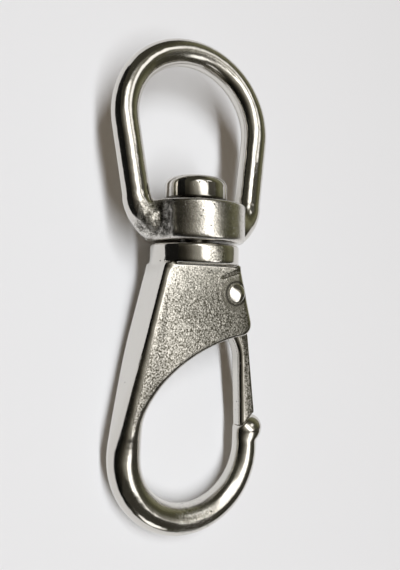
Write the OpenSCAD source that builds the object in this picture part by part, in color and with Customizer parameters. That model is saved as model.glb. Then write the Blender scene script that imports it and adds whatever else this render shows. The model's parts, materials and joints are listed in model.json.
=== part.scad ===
// Swivel snap hook: a cast hook with a sprung gate, and a bow that turns on a headed stud.
// All sizes are in millimetres. Each piece is drawn in the hook's own plane: X across the
// hook, Y along the swivel axis towards the bow, Z through its thickness, with the origin
// on the swivel axis at the top of the collar. lay_down() then rests the hook on Z = 0.

/* [Hook body] */
// Length of the hook, from the collar's top to the bottom of the bend
hook_length = 50.6; // [49.6:0.1:52.6]
// Thickness of the flat-sided housing
body_t = 9.5; // [8:0.1:11]
// Half width of the housing below the collar, on the spine side
shoulder_spine = 7.5; // [7:0.1:8.5]
// Half width of the housing below the collar, on the gate side
shoulder_gate = 7.3; // [6.8:0.1:7.8]
// Rounding of the housing's long edge on the spine side
spine_edge_r = 1.3; // [0.8:0.1:2]
// Rounding of the cheeks' edges on the gate side
cheek_edge_r = 0.8; // [0.4:0.05:1.1]
// How far the cheeks' lower corner stands from the swivel axis
cheek_reach = 10.5; // [10:0.1:11.2]
// How far the cheeks' lower corner lies below the collar's top
cheek_drop = 15.5; // [14.6:0.1:16.4]
// Rounding of the cheeks' lower corner, seen from the front
cheek_corner_r = 2; // [1:0.1:3]
// Slope of the throat where it leaves the cheeks' corner
throat_slope = 7; // [4:1:12]
// Radius of the throat, the long inner curve below the cheeks
throat_r = 21.8; // [20.5:0.1:24]
// Radius that blends the throat into the rod of the hook
throat_blend_r = 9; // [7:0.1:11]
// Half thickness of the rod on the spine side of the bend
rod_r = 2.85; // [2.5:0.05:3.2]
// Half thickness of the rod below the nose
nose_r = 2.25; // [2:0.05:2.5]
// Radius of the bend, to the middle of the rod
bend_r = 11.9; // [11:0.1:13]
// Sideways shift of the bend's centre from the swivel axis
bend_shift = -0.4; // [-1:0.1:0.4]

/* [Nose] */
// Radius of the rounded lip at the end of the nose
lip_r = 2.45; // [2.2:0.05:2.7]
// How far the lip's centre stands outside the middle of the rod
lip_out = 1; // [0.6:0.1:1.4]
// How far the lip's centre lies above the centre of the bend
lip_rise = 3; // [2.5:0.1:4]
// Slope of the seat that stops the gate
seat_slope = 42; // [36:1:48]
// Distance of the seat from the lip's centre
seat_off = 2.2; // [1.9:0.05:2.4]

/* [Collar] */
// Diameter of the collar under the bow
collar_d = 15.8; // [15:0.1:17]
// Height of the collar
collar_h = 3.5; // [3:0.1:4]
// Rounding of the collar's edges
collar_edge_r = 0.5; // [0.2:0.05:0.7]

/* [Swivel stud] */
// Diameter of the stud's shank
stud_d = 5.5; // [5:0.1:6]
// Depth of the stud's press fit below the collar's top
stud_depth = 4.8; // [4:0.1:5.2]
// Diameter of the stud's button head
head_d = 11; // [9.5:0.1:12.5]
// Height of the stud's button head
head_h = 4; // [3:0.1:5]
// Rounding of the button head's upper edge
head_edge_r = 1.6; // [1:0.1:2.2]

/* [Bow] */
// Length of the bow, from the foot of its boss to the top of its arch
bow_length = 37.2; // [35.8:0.1:39.6]
// Diameter of the bow's boss
boss_d = 17.8; // [16.6:0.1:18.4]
// Height of the bow's boss
boss_h = 6.8; // [6.3:0.1:7.5]
// Rounding of the boss's edge towards the collar
boss_foot_r = 0.9; // [0.4:0.1:1.2]
// Rounding of the boss's edge towards the stud's head
boss_edge_r = 0.5; // [0.3:0.1:1]
// Half thickness of the bow's wire
bow_r = 2.4; // [2.1:0.05:2.7]
// Radius of the bow's arch, to the middle of the wire
arch_r = 13.1; // [12.3:0.1:14]
// Lean of the bow's limbs towards the boss
limb_lean = 8.5; // [7.5:0.5:11]
// Height above the foot of the boss at which the limbs start to turn in
elbow_rise = 7.1; // [6.6:0.1:8.1]
// Radius of the turn where the limbs run into the boss
elbow_r = 4.5; // [4:0.1:5]
// How much the limbs thicken where they run into the boss
root_flare = 0.5; // [0:0.1:0.8]
// How far the limbs and the arch lean back from the boss, in degrees
bow_lean = 5.2; // [0:0.2:7]

/* [Gate] */
// Thickness of the gate
gate_t = 4.2; // [3.9:0.1:4.6]
// Radius of the gate's hub round its pin
hub_r = 2.6; // [2.5:0.05:2.8]
// Width of the gate's arm at its tip
gate_w = 2.7; // [2.4:0.1:3]
// Rounding of the gate's long edges
gate_edge_r = 0.5; // [0.2:0.05:0.8]
// How far the gate swings inwards, in degrees
gate_travel = 30; // [24:1:32]
// Distance of the gate pin from the swivel axis
pin_out = 6.15; // [6:0.05:6.3]
// Distance of the gate pin below the collar's top
pin_drop = 8.3; // [8.25:0.05:9]

/* [Gate pin] */
// Diameter of the gate pin's shank
pin_d = 2.6; // [2.4:0.05:2.7]
// Diameter of the gate pin's riveted heads
pin_head_d = 3.5; // [3.2:0.1:3.8]
// How far the riveted heads stand proud of the cheeks
pin_proud = 0.4; // [0.2:0.05:0.6]
// Depth of the recess round each riveted head
pin_recess = 0.4; // [0.2:0.05:0.6]

/* [Gate spring] */
// Thickness of the spring's wire
spring_wire = 0.5; // [0.4:0.05:0.5]
// Number of full turns in the spring
spring_turns = 3; // [2:1:3]
// Length of the spring's leg along the gate
spring_leg = 5.5; // [4:0.1:6]

/* [Clearances] */
// Gap all round between the stud's shank and the bow's bore
swivel_gap = 0.1; // [0.05:0.01:0.2]
// Gap between the bow's boss and the collar
boss_gap = 0.35; // [0.1:0.05:0.6]
// Gap between the bow's boss and the stud's head
head_gap = 0.7; // [0.3:0.05:1]
// Gap all round between the gate pin and the gate's bore
pin_gap = 0.05; // [0.03:0.01:0.1]
// Gap between the gate and each cheek
cheek_gap = 0.15; // [0.1:0.05:0.3]
// Gap between the gate's hub and the back of its slot
slot_gap = 0.35; // [0.25:0.05:0.5]
// Gap between the closed gate and its seat
seat_gap = 0.12; // [0.05:0.01:0.3]
// Gap round the spring, inside its turns and beside them
spring_gap = 0.1; // [0.05:0.01:0.15]
// Gap between the spring's legs and what they press on
leg_gap = 0.02; // [0.01:0.01:0.1]
// Gap round each riveted head in its recess
recess_gap = 0.2; // [0.1:0.05:0.3]

/* [Hidden] */
$fn = 64;
steel = [0.74, 0.73, 0.71];
bright_steel = [0.82, 0.82, 0.81];
spring_steel = [0.6, 0.6, 0.62];
overshoot = 1;
// How far the housing's top end stands above the underside of the collar
shoulder_sink = 0.1;
// Inset of the gate's tip from the inner side of the nose, and the lean of its arm
tip_inset = 0.45;
arm_lean = 2.5;
// Bends of the gate's outer and inner edges
knee_r = 12;
flare_r = 7;
// Length over which the bow's limbs thicken towards the boss
root_run = 3;
// Half angle of the flat where the gate's hub starts
hub_start = 6;
// Rounding at the foot of the stud's head
head_foot_r = 0.3;
// Rise of the spring's upper leg, and the coil's pitch as a share of the wire
leg_rise = 20;
coil_pitch = 1.08;

// Places that the pieces share
cheek_face = body_t / 2;
bend_bottom_r = rod_at(270);
bend_c = [bend_shift, bend_r + bend_bottom_r - hook_length];
rod_x = bend_c.x + bend_r;
lip_c = [rod_x + lip_out, bend_c.y + lip_rise];
pin_c = [pin_out, -pin_drop];
slot_t = gate_t + 2 * cheek_gap;
slot_x = pin_c.x - hub_r - slot_gap;
slot_y = pin_c.y + hub_r + slot_gap;

boss_foot = boss_gap;
boss_mid = boss_foot + boss_h / 2;
boss_top = boss_foot + boss_h;
head_foot = boss_top + head_gap;
arch_c = [0, boss_foot + bow_length - bow_r - arch_r];

// ---- Plane geometry ----
function unit(a) = [cos(a), sin(a)];
function bearing(v) = atan2(v.y, v.x);
function mix(a, b, k) = a + (b - a) * k;
function smooth(k) = k <= 0 ? 0 : k >= 1 ? 1 : k * k * (3 - 2 * k);
function span(a, b, n) = [for (i = [0 : n]) mix(a, b, i / n)];
function arc(c, r, a0, a1, n) = [for (a = span(a0, a1, n)) c + r * unit(a)];
function rest_of(list) = [for (i = [1 : 1 : len(list) - 1]) list[i]];
function dot2(a, b) = a.x * b.x + a.y * b.y;
function turn(a, b) = a.x * b.y - a.y * b.x;

// Length run along a path at each of its points
function runs(path, i = 0, sum = 0, out = []) =
    i == len(path) ? out
    : let (s = i == 0 ? 0 : sum + norm(path[i] - path[i - 1]))
        runs(path, i + 1, s, concat(out, [s]));

// Point at a share of a path's length
function along(path, share) =
    let (run = runs(path), s = share * run[len(run) - 1],
         i = max([for (j = [0 : len(path) - 2]) run[j] <= s ? j : 0]))
    mix(path[i], path[i + 1], (s - run[i]) / (run[i + 1] - run[i]));

// Arc that rounds the corner b of the path a, b, c
function fillet(a, b, c, r, n) =
    let (u = (a - b) / norm(a - b), v = (c - b) / norm(c - b),
         half = acos(dot2(u, v)) / 2, m = (u + v) / norm(u + v),
         centre = b + m * r / sin(half), side = sign(turn(u, v)),
         a0 = bearing(b + u * r / tan(half) - centre))
    arc(centre, r, a0, a0 - side * (180 - 2 * half), n);

// ---- Lofts ----
// A rung is [start, end, half thickness, start roundness, end roundness]: a line across
// the section, with the loft's heading 90 degrees clockwise from it. Roundness 0 keeps
// that side's edge radius and roundness 1 makes it half an ellipse.
function ring(rung, edges, n) =
    let (m = (rung[0] + rung[1]) / 2, h = (rung[1] - rung[0]) / 2, w = norm(h), t = rung[2],
         grow = 1 / cos(45 / n))
    [for (q = [0 : 3], i = [0 : n - 1])
        let (a = 90 * (q + (i + 0.5) / n), right = q == 0 || q == 3,
             k = right ? rung[4] : rung[3], e = right ? edges[1] : edges[0],
             ra = mix(min(e, w), w, k), rb = mix(min(e, t), t, k),
             x = (right ? 1 : -1) * (w - ra) + ra * cos(a) * grow,
             z = (q < 2 ? 1 : -1) * (t - rb) + rb * sin(a) * grow,
             p = m + h / w * x)
        [p.x, p.y, z]];

// Solid skin over closed rings of n points each
module skin(rings) {
    n = len(rings[0]);
    last = len(rings) - 1;
    points = [for (r = rings) each r];
    sides = [for (j = [0 : last - 1], i = [0 : n - 1])
        let (a = j * n + i, b = j * n + (i + 1) % n)
        each [[a, b + n, b], [a, a + n, b + n]]];
    foot = [for (i = [0 : n - 1]) i];
    top = [for (i = [n - 1 : -1 : 0]) last * n + i];
    polyhedron(points, concat([foot], sides, [top]), convexity = 8);
}

module loft(rungs, edges = [0, 0], n = 7) {
    skin([for (r = rungs) ring(r, edges, n)]);
}

// Rungs of a round wire along a plane path, with its half thickness at each point
function wire(path, r) =
    [for (i = [0 : len(path) - 1])
        let (d = path[min(i + 1, len(path) - 1)] - path[max(i - 1, 0)], u = d / norm(d),
             across = [-u.y, u.x] * r[i])
        [path[i] - across, path[i] + across, r[i], 1, 1]];

// Round wire along a path in space that never runs along Z
function tube_rings(path, r, n) =
    [for (i = [0 : len(path) - 1])
        let (d = path[min(i + 1, len(path) - 1)] - path[max(i - 1, 0)], t = d / norm(d),
             across = cross(t, [0, 0, 1]), u = across / norm(across), v = cross(t, u))
        [for (k = [0 : n - 1]) path[i] + r * (u * cos(360 * k / n) + v * sin(360 * k / n))]];

// Round plug about Z from z0 to z1, with rounded rims
module plug(r, z0, z1, foot_r, top_r) {
    rotate_extrude()
        polygon(concat([[0, z0]], arc([r - foot_r, z0 + foot_r], foot_r, -90, 0, 6),
            arc([r - top_r, z1 - top_r], top_r, 0, 90, 10), [[0, z1]]));
}

// Cap of a ball, of height h on a round foot of radius r
module cap(r, h) {
    ball_r = (r * r + h * h) / (2 * h);
    rotate_extrude()
        polygon(concat([[0, 0]], arc([0, h - ball_r], ball_r, asin(1 - h / ball_r), 90, 12)));
}

// Turns Z to the swivel axis
module on_axis() rotate([-90, 0, 0]) children();

// ---- Hook body ----
// The spine's outer edge runs straight from the shoulder to a tangent of the bend.
shoulder = [-shoulder_spine, -collar_h];
shoulder_v = shoulder - bend_c;
spine_a = bearing(shoulder_v) + acos((bend_r + rod_r) / norm(shoulder_v));
spine_foot = bend_c + (bend_r + rod_r) * unit(spine_a);

// The inner edge runs down the cheeks, round their corner and along the throat's two arcs.
cheek_top = [shoulder_gate, -collar_h];
cheek_corner = [cheek_reach, -cheek_drop];
cheek_dir = (cheek_corner - cheek_top) / norm(cheek_corner - cheek_top);
throat_dir = -unit(throat_slope);
corner_half = acos(dot2(-cheek_dir, throat_dir)) / 2;
throat_start = cheek_corner + throat_dir * cheek_corner_r / tan(corner_half);
throat_c = throat_start + throat_r * unit(throat_slope - 90);
blend_x = bend_c.x - bend_r + rod_r + throat_blend_r;
blend_c = [blend_x, throat_c.y + sqrt(pow(throat_r - throat_blend_r, 2) - pow(blend_x - throat_c.x, 2))];
throat_end_a = bearing(blend_c - throat_c);
inner_edge = concat(
    [cheek_top, mix(cheek_top, cheek_corner, 0.3), mix(cheek_top, cheek_corner, 0.6)],
    fillet(cheek_top, cheek_corner, cheek_corner + throat_dir, cheek_corner_r, 7),
    rest_of(arc(throat_c, throat_r, 90 + throat_slope, throat_end_a, 16)),
    rest_of(arc(blend_c, throat_blend_r, throat_end_a, 180, 5)));

function rod_at(a) = mix(rod_r, nose_r, pow((a - 180) / 180, 2));

function housing_rungs() =
    let (run = runs(inner_edge), all = run[len(run) - 1])
    [for (i = [0 : len(inner_edge) - 1])
        let (s = run[i] / all, thin = smooth((s - 0.62) / 0.38), soft = smooth((s - 0.45) / 0.55))
        [mix(shoulder, spine_foot, s), inner_edge[i], mix(cheek_face, rod_r, thin), soft, soft]];

function bend_rungs() = concat(
    [for (k = [0.5, 1])
        [bend_c + (bend_r + rod_r) * unit(mix(spine_a, 180, k)),
         [bend_c.x - bend_r + rod_r, mix(blend_c.y, bend_c.y, k)], rod_r, 1, 1]],
    [for (a = rest_of(span(180, 360, 26)))
        [bend_c + (bend_r + rod_at(a)) * unit(a), bend_c + (bend_r - rod_at(a)) * unit(a),
         rod_at(a), 1, 1]]);

// The nose's outer edge runs round the lip while its inner edge goes on straight.
function nose_rungs() =
    let (neck_a = -acos((nose_r - lip_out) / lip_r), inner_x = rod_x - nose_r,
         neck_y = lip_c.y + lip_r * sin(neck_a), tip_y = lip_c.y + 0.65 * lip_r)
    [for (k = span(0, 1, 12))
        let (a = mix(neck_a, 80, k))
        [lip_c + lip_r * unit(a), [inner_x, mix(neck_y, tip_y, k)],
         a < 0 ? mix(nose_r, lip_r, k) : lip_r * (0.3 + 0.7 * cos(a)), 1, 1]];

// Block on the gate's side of the seat (side 1) or on the lip's side (side -1), clear of it by gap
module seat_block(side, gap) {
    translate(lip_c) rotate(seat_slope)
        translate([-2 * lip_r, side > 0 ? seat_off + gap : seat_off + gap - 2 * lip_r, -body_t])
            cube([3.2 * lip_r, 2 * lip_r, 2 * body_t]);
}

module hook_body() color(steel) difference() {
    union() {
        difference() {
            loft(concat(
                [[shoulder + [0, shoulder_sink], cheek_top + [0, shoulder_sink], cheek_face, 0, 0]],
                housing_rungs(), bend_rungs(), nose_rungs()),
                [spine_edge_r, cheek_edge_r]);
            seat_block(1, 0);
        }
        on_axis() plug(collar_d / 2, -collar_h, 0, collar_edge_r, collar_edge_r);
    }
    // Slot for the gate, between the cheeks
    translate([slot_x, -cheek_drop - 6, -slot_t / 2])
        cube([cheek_reach, cheek_drop + 6 + slot_y, slot_t]);
    // Bores for the stud and the gate pin, with a recess for each riveted head
    on_axis() translate([0, 0, -stud_depth]) cylinder(d = stud_d, h = stud_depth + overshoot);
    translate([pin_c.x, pin_c.y, -body_t]) cylinder(d = pin_d, h = 2 * body_t);
    for (side = [0, 1]) mirror([0, 0, side])
        translate([pin_c.x, pin_c.y, cheek_face - pin_recess])
            cylinder(r = pin_head_d / 2 + recess_gap, h = body_t);
}

// ---- Bow ----
elbow_start_y = boss_foot + elbow_rise;
limb_top = arch_c + arch_r * unit(-limb_lean);
limb_len = (limb_top.y - elbow_start_y) / cos(limb_lean);
limb_foot = limb_top - limb_len * [sin(limb_lean), cos(limb_lean)];
elbow_c = limb_foot - elbow_r * unit(-limb_lean);
half_bow = concat(
    [elbow_c + elbow_r * unit(-72) - unit(18)],
    arc(elbow_c, elbow_r, -72, -limb_lean, 8),
    span(limb_foot, limb_top, 3),
    rest_of(arc(arch_c, arch_r, -limb_lean, 90, 20)));
bow_path = concat(half_bow, [for (i = [len(half_bow) - 2 : -1 : 0]) [-half_bow[i].x, half_bow[i].y]]);

bow_radii = [for (p = bow_path)
    let (near_boss = p.y < limb_foot.y ? (boss_d / 2 + root_run - abs(p.x)) / root_run : 0)
    bow_r + root_flare * smooth(near_boss)];

module lean_back() translate([0, boss_mid, 0]) rotate([-bow_lean, 0, 0])
    translate([0, -boss_mid, 0]) children();

module swivel_eye() color(bright_steel) difference() {
    union() {
        lean_back() loft(wire(bow_path, bow_radii));
        on_axis() plug(boss_d / 2, boss_foot, boss_top, boss_foot_r, boss_edge_r);
    }
    on_axis() cylinder(r = stud_d / 2 + swivel_gap, h = 2 * boss_top);
}

// ---- Swivel stud ----
module swivel_stud() color(bright_steel) on_axis() union() {
    plug(head_d / 2, head_foot, head_foot + head_h, head_foot_r, head_edge_r);
    translate([0, 0, -stud_depth]) cylinder(d = stud_d, h = stud_depth + head_foot + overshoot);
}

// ---- Gate ----
// Closed, the gate's outer edge is flush with the cheeks. Its root lies along the back of
// the slot when the gate is fully open, so the root leaves the hub at the angle of travel.
flush_a = 90 + bearing(cheek_dir);
function down(a) = [sin(a), -cos(a)];
outer_start = pin_c + hub_r * unit(flush_a);
inner_start = pin_c - hub_r * unit(gate_travel);
tip_in = [rod_x - nose_r + tip_inset, lip_c.y];
tip_out = tip_in + [gate_w, 0.3 * gate_w];
knee = outer_start + down(flush_a) * (cheek_drop + outer_start.y) / cos(flush_a);
// The inner edges of the root and of the arm meet at the flare.
arm_v = down(arm_lean);
root_v = down(gate_travel);
flare = inner_start + root_v * turn(tip_in - inner_start, arm_v) / turn(root_v, arm_v);
arm_outer = concat([outer_start], fillet(outer_start, knee, tip_out, knee_r, 4), [tip_out]);
arm_inner = concat([inner_start], fillet(inner_start, flare, tip_in, flare_r, 6), [tip_in]);
hub_inner = arc(pin_c, hub_r, 90 + hub_start, 180 + gate_travel, 8);
hub_outer = arc(pin_c, hub_r, 90 - hub_start, flush_a, 8);

module gate() color(steel) difference() {
    loft(concat(
        [for (i = [0 : 7]) [hub_inner[i], hub_outer[i], gate_t / 2, 0, 0]],
        [for (s = span(0, 1, 20)) [along(arm_inner, s), along(arm_outer, s), gate_t / 2, 0, 0]]),
        [gate_edge_r, gate_edge_r], 4);
    seat_block(-1, seat_gap);
    translate([pin_c.x, pin_c.y, -gate_t]) cylinder(r = pin_d / 2 + pin_gap, h = 2 * gate_t);
    spring_pocket();
}

// ---- Gate spring ----
// The coil runs round the gate pin between the gate's two ears. One leg presses on the inside
// of the gate's outer wall and the other on the top of the slot.
coil_r = pin_d / 2 + spring_gap + spring_wire / 2;
coil_end = 90 - leg_rise;
coil_sweep = 360 * spring_turns + coil_end - flush_a;
coil_w = spring_wire * coil_pitch * coil_sweep / 360;
pocket_w = coil_w + spring_wire + 2 * spring_gap;
wall_x = coil_r + spring_wire / 2 + leg_gap;
top_leg = (hub_r + slot_gap - leg_gap - spring_wire / 2 - coil_r * sin(coil_end)) / cos(coil_end);

module spring_pocket() translate([pin_c.x, pin_c.y, -pocket_w / 2]) {
    cylinder(r = wall_x, h = pocket_w);
    rotate(flush_a) translate([-3 * hub_r, -spring_leg - 2 * spring_gap, 0])
        cube([3 * hub_r + wall_x, spring_leg + 2 * spring_gap, pocket_w]);
    translate([-2 * hub_r, -0.5 * hub_r, 0]) cube([2.35 * hub_r, 2 * hub_r, pocket_w]);
}

function coil_level(k) = coil_w * (k - 0.5);
function coil_at(k) = let (p = pin_c + coil_r * unit(flush_a + coil_sweep * k)) [p.x, p.y, coil_level(k)];
function leg(k, v, l) = coil_at(k) + l * [v.x, v.y, 0];
spring_path = concat(
    [for (l = [spring_leg, 0.4]) leg(0, down(flush_a), l)],
    [for (k = span(0, 1, 16 * spring_turns + 3)) coil_at(k)],
    [for (l = [0.4, top_leg]) leg(1, -unit(-leg_rise), l)]);

module gate_spring() color(spring_steel) skin(tube_rings(spring_path, spring_wire / 2, 8));

// ---- Gate pin ----
module gate_pin() color(bright_steel) translate([pin_c.x, pin_c.y, 0]) union() {
    cylinder(d = pin_d, h = body_t - 2 * pin_recess + overshoot / 4, center = true);
    for (side = [0, 1]) mirror([0, 0, side])
        translate([0, 0, cheek_face - pin_recess]) cap(pin_head_d / 2, pin_recess + pin_proud);
}

// ---- At rest ----
// The hook lies on the foot of its boss and on the bottom of its bend.
function tip(v, a) = [v.x * cos(a) - v.y * sin(a), v.x * sin(a) + v.y * cos(a)];
rest_boss = [boss_foot + boss_foot_r, boss_foot_r - boss_d / 2];
rest_bend = [bend_c.y - bend_r, 0];
rest_v = rest_boss - rest_bend;
pitch = -bearing(rest_v) - asin((bend_bottom_r - boss_foot_r) / norm(rest_v));
lift = bend_bottom_r - tip(rest_bend, pitch).y;
arch_top = tip([boss_mid, 0] + tip([arch_c.y + arch_r - boss_mid, 0], -bow_lean), pitch);
centre_y = (arch_top.x + bow_r + tip(rest_bend, pitch).x - bend_bottom_r) / 2;

module lay_down() translate([0, -centre_y, lift]) rotate([pitch, 0, 0]) children();

lay_down() hook_body();
lay_down() swivel_eye();
lay_down() swivel_stud();
lay_down() gate();
lay_down() gate_pin();
lay_down() gate_spring();
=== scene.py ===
# %% [markdown]
# A swivel snap hook, of the kind that joins a lead, a flag line or a strap to a ring.
# It is an investment casting in stainless steel: a hook with a slot for its sprung gate,
# and a bow that turns on a headed stud. The CAD model already gives the sizes, the joints
# and the way the hook lies. Here each casting is drawn again with the finish of the real
# one, on the same sizes, so that nothing has to be fitted afterwards.

# %% The frame
import json
import math

import bpy
import numpy as np
from mathutils import Matrix, Vector, noise


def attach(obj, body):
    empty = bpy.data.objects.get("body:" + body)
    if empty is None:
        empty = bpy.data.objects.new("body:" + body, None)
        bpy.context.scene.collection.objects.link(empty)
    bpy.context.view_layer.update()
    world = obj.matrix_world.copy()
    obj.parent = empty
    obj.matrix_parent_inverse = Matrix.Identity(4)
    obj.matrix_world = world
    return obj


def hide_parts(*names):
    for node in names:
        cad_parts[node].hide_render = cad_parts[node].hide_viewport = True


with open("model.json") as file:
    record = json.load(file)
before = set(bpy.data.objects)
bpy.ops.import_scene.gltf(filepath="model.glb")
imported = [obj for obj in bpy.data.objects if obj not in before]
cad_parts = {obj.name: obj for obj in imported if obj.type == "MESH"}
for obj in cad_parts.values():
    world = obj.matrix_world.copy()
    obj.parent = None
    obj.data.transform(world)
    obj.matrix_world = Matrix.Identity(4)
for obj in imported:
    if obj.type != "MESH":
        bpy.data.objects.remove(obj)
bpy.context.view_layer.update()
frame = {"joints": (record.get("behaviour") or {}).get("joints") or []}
MM = 0.001
joints = {j["name"]: j for j in frame["joints"]}

# %% [markdown]
# Everything below is worked out in the hook's own plane, in millimetres: X across the hook,
# Y along the swivel axis towards the bow, Z through the thickness, with the origin where the
# swivel axis leaves the collar. One matrix then lays the work down where the CAD model lies.
# The swivel joint gives that matrix, because its axis is the Y axis of the plane.

# %% The hook's plane
BOSS_GAP, BOSS_H = 0.35, 6.8
BOSS_MID = BOSS_GAP + BOSS_H / 2

axis = Vector(joints["eye_swivel"]["axis"]).normalized()
across = Vector((1, 0, 0))
through = across.cross(axis)
origin = Vector(joints["eye_swivel"]["pos_m"]) - axis * BOSS_MID * MM
turn_over = Matrix((across, axis, through)).transposed().to_4x4()
LAY_DOWN = Matrix.Translation(origin) @ turn_over @ Matrix.Scale(MM, 4)
print(f"the hook lies {math.degrees(math.atan2(axis.z, axis.y)):.1f} degrees off the table")

# %% [markdown]
# A casting like this is drawn from a ladder: two edges seen from the front, with rungs
# between them. Each rung carries a closed section, which is a flat-sided bar where the
# hook's housing is and a circle where the rod is. Skinning the sections gives the whole
# body in one piece, and the change from flat to round happens by itself along the way.
# Curves with a bevel can't do this, because their section keeps one shape.

# %% Plane geometry
def unit(degrees):
    a = math.radians(degrees)
    return np.array([math.cos(a), math.sin(a)])


def bearing(v):
    return math.degrees(math.atan2(v[1], v[0]))


def mix(a, b, k):
    return a + (b - a) * k


def smooth(k):
    k = min(max(k, 0.0), 1.0)
    return k * k * (3 - 2 * k)


def arc(centre, r, a0, a1, n):
    return [np.asarray(centre) + r * unit(a) for a in np.linspace(a0, a1, n + 1)]


def line(a, b, n):
    return [mix(np.asarray(a, float), np.asarray(b, float), k) for k in np.linspace(0, 1, n + 1)]


def fillet(a, b, c, r, n):
    """Arc of radius r that rounds the corner b of the path a, b, c."""
    a, b, c = (np.asarray(p, float) for p in (a, b, c))
    u, v = (a - b) / np.linalg.norm(a - b), (c - b) / np.linalg.norm(c - b)
    half = math.acos(float(u @ v)) / 2
    centre = b + (u + v) / np.linalg.norm(u + v) * r / math.sin(half)
    side = math.copysign(1, u[0] * v[1] - u[1] * v[0])
    a0 = bearing(b + u * r / math.tan(half) - centre)
    return arc(centre, r, a0, a0 - side * (180 - 2 * math.degrees(half)), n)


def shares(path):
    """Share of a path's length at each of its points."""
    steps = [0.0] + [float(np.linalg.norm(b - a)) for a, b in zip(path, path[1:])]
    run = np.cumsum(steps)
    return run / run[-1]


def along(path, share):
    run, pts = shares(path), np.array(path)
    return np.array([np.interp(share, run, pts[:, i]) for i in range(pts.shape[1])])


# %% From a ladder to a mesh
def section(rung, edges, n):
    """Closed section on a rung (start, end, half thickness, start and end roundness).

    edges gives each side's edge rounding, as how far it reaches across and through."""
    start, end, t, k0, k1 = rung
    m, h = (start + end) / 2, (end - start) / 2
    w = float(np.linalg.norm(h))
    points = []
    for q in range(4):
        right = q in (0, 3)
        k, e = (k1, edges[1]) if right else (k0, edges[0])
        ra, rb = mix(min(e[0], w), w, k), mix(min(e[1], t), t, k)
        for i in range(n):
            a = math.radians(90 * (q + i / (n - 1)))
            x = (1 if right else -1) * (w - ra) + ra * math.cos(a)
            z = (1 if q < 2 else -1) * (t - rb) + rb * math.sin(a)
            points.append((*(m + h / w * x), z))
    return points


def skin(rings):
    """Vertices and faces of a closed skin over rings of equally many points."""
    n = len(rings[0])
    faces = [[j * n + i, (j + 1) * n + i, (j + 1) * n + (i + 1) % n, j * n + (i + 1) % n]
             for j in range(len(rings) - 1) for i in range(n)]
    faces += [list(range(n)), [(len(rings) - 1) * n + i for i in reversed(range(n))]]
    return [p for r in rings for p in r], faces


def loft(name, rungs, edges=((0, 0), (0, 0)), n=10):
    return solid(name, *skin([section(r, edges, n) for r in rungs]))


def solid(name, points, faces):
    mesh = bpy.data.meshes.new(name)
    mesh.from_pydata([tuple(p) for p in points], [], faces)
    mesh.validate()
    obj = bpy.data.objects.new(name, mesh)
    bpy.context.scene.collection.objects.link(obj)
    return obj


# %% [markdown]
# The turned parts, such as the collar and the bow's boss, are profiles spun round the
# swivel axis. Cutters are plain boxes and rods: only the cut that they leave is kept.

# %% Turned parts and cutters
def turned(name, profile, n=96, axis_y=True):
    """Spin a profile of (radius, height) round the Y axis, or round Z, as a closed skin."""
    rings = []
    for r, h in profile:
        ring = []
        for i in range(n):
            a = -2 * math.pi * i / n
            c, s = r * math.cos(a), r * math.sin(a)
            ring.append((c, h, s) if axis_y else (c, -s, h))
        rings.append(ring)
    return solid(name, *skin(rings))


def plug(r, y0, y1, foot_r, top_r, n=10):
    """Profile of a round plug with rounded rims."""
    return ([(0.01, y0)] + [tuple(p) for p in arc((r - foot_r, y0 + foot_r), foot_r, -90, 0, n)]
            + [tuple(p) for p in arc((r - top_r, y1 - top_r), top_r, 0, 90, n)] + [(0.01, y1)])


def block(low, high, turn=0.0, about=(0, 0)):
    """Box from low to high, turned about a point of the plane."""
    x, y, z = zip(low, high)
    points = [(x[i], y[j], z[k]) for i in (0, 1) for j in (0, 1) for k in (0, 1)]
    faces = [[0, 1, 3, 2], [4, 6, 7, 5], [0, 4, 5, 1], [2, 3, 7, 6], [0, 2, 6, 4], [1, 5, 7, 3]]
    obj = solid("cutter", points, faces)
    obj.data.transform(Matrix.Translation((*about, 0)) @ Matrix.Rotation(math.radians(turn), 4, "Z"))
    return obj


def bore(x, y, r, z0, z1):
    obj = turned("cutter", [(r, z0), (r, z1)], 64, axis_y=False)
    obj.data.transform(Matrix.Translation((x, y, 0)))
    return obj


def settle(obj):
    """Keep what the modifiers make as the object's own mesh."""
    mesh = bpy.data.meshes.new_from_object(obj.evaluated_get(bpy.context.evaluated_depsgraph_get()))
    obj.modifiers.clear()
    old, obj.data = obj.data, mesh
    bpy.data.meshes.remove(old)
    return obj


def combine(obj, other, operation):
    mod = obj.modifiers.new("combine", "BOOLEAN")
    mod.operation, mod.object, mod.solver = operation, other, "EXACT"
    settle(obj)
    bpy.data.objects.remove(other)
    return obj


# %% [markdown]
# Investment castings have no truly sharp edge. The wax, the ceramic shell and the tumbling
# barrel round every corner a little and leave a small cove where two forms meet. Remeshing
# the joined forms into even small cells and relaxing them a few times does the same to the
# mesh, everywhere at once, which a bevel can't do on edges that run out into a curved side.

# %% Cast rounding
def cast(obj, cell, relax):
    """Even mesh of the given cell size, with its edges and inner corners relaxed."""
    mod = obj.modifiers.new("cells", "REMESH")
    mod.mode, mod.voxel_size, mod.adaptivity = "VOXEL", cell, 0.0
    mod = obj.modifiers.new("relax", "SMOOTH")
    mod.factor, mod.iterations = 0.5, relax
    settle(obj)
    obj.data.shade_smooth()
    print(f"{obj.name}: {len(obj.data.vertices)} points, {len(obj.data.polygons)} faces")
    return obj


def coordinates(obj):
    co = np.empty(len(obj.data.vertices) * 3, np.float32)
    obj.data.vertices.foreach_get("co", co)
    return co.reshape(-1, 3)


def normals(obj):
    no = np.empty(len(obj.data.vertices) * 3, np.float32)
    obj.data.vertex_normals.foreach_get("vector", no)
    return no.reshape(-1, 3)


def note(obj, name, values):
    """Store one number per vertex, for the material to read."""
    layer = obj.data.attributes.new(name, "FLOAT", "POINT")
    layer.data.foreach_set("value", np.asarray(values, np.float32))


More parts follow.
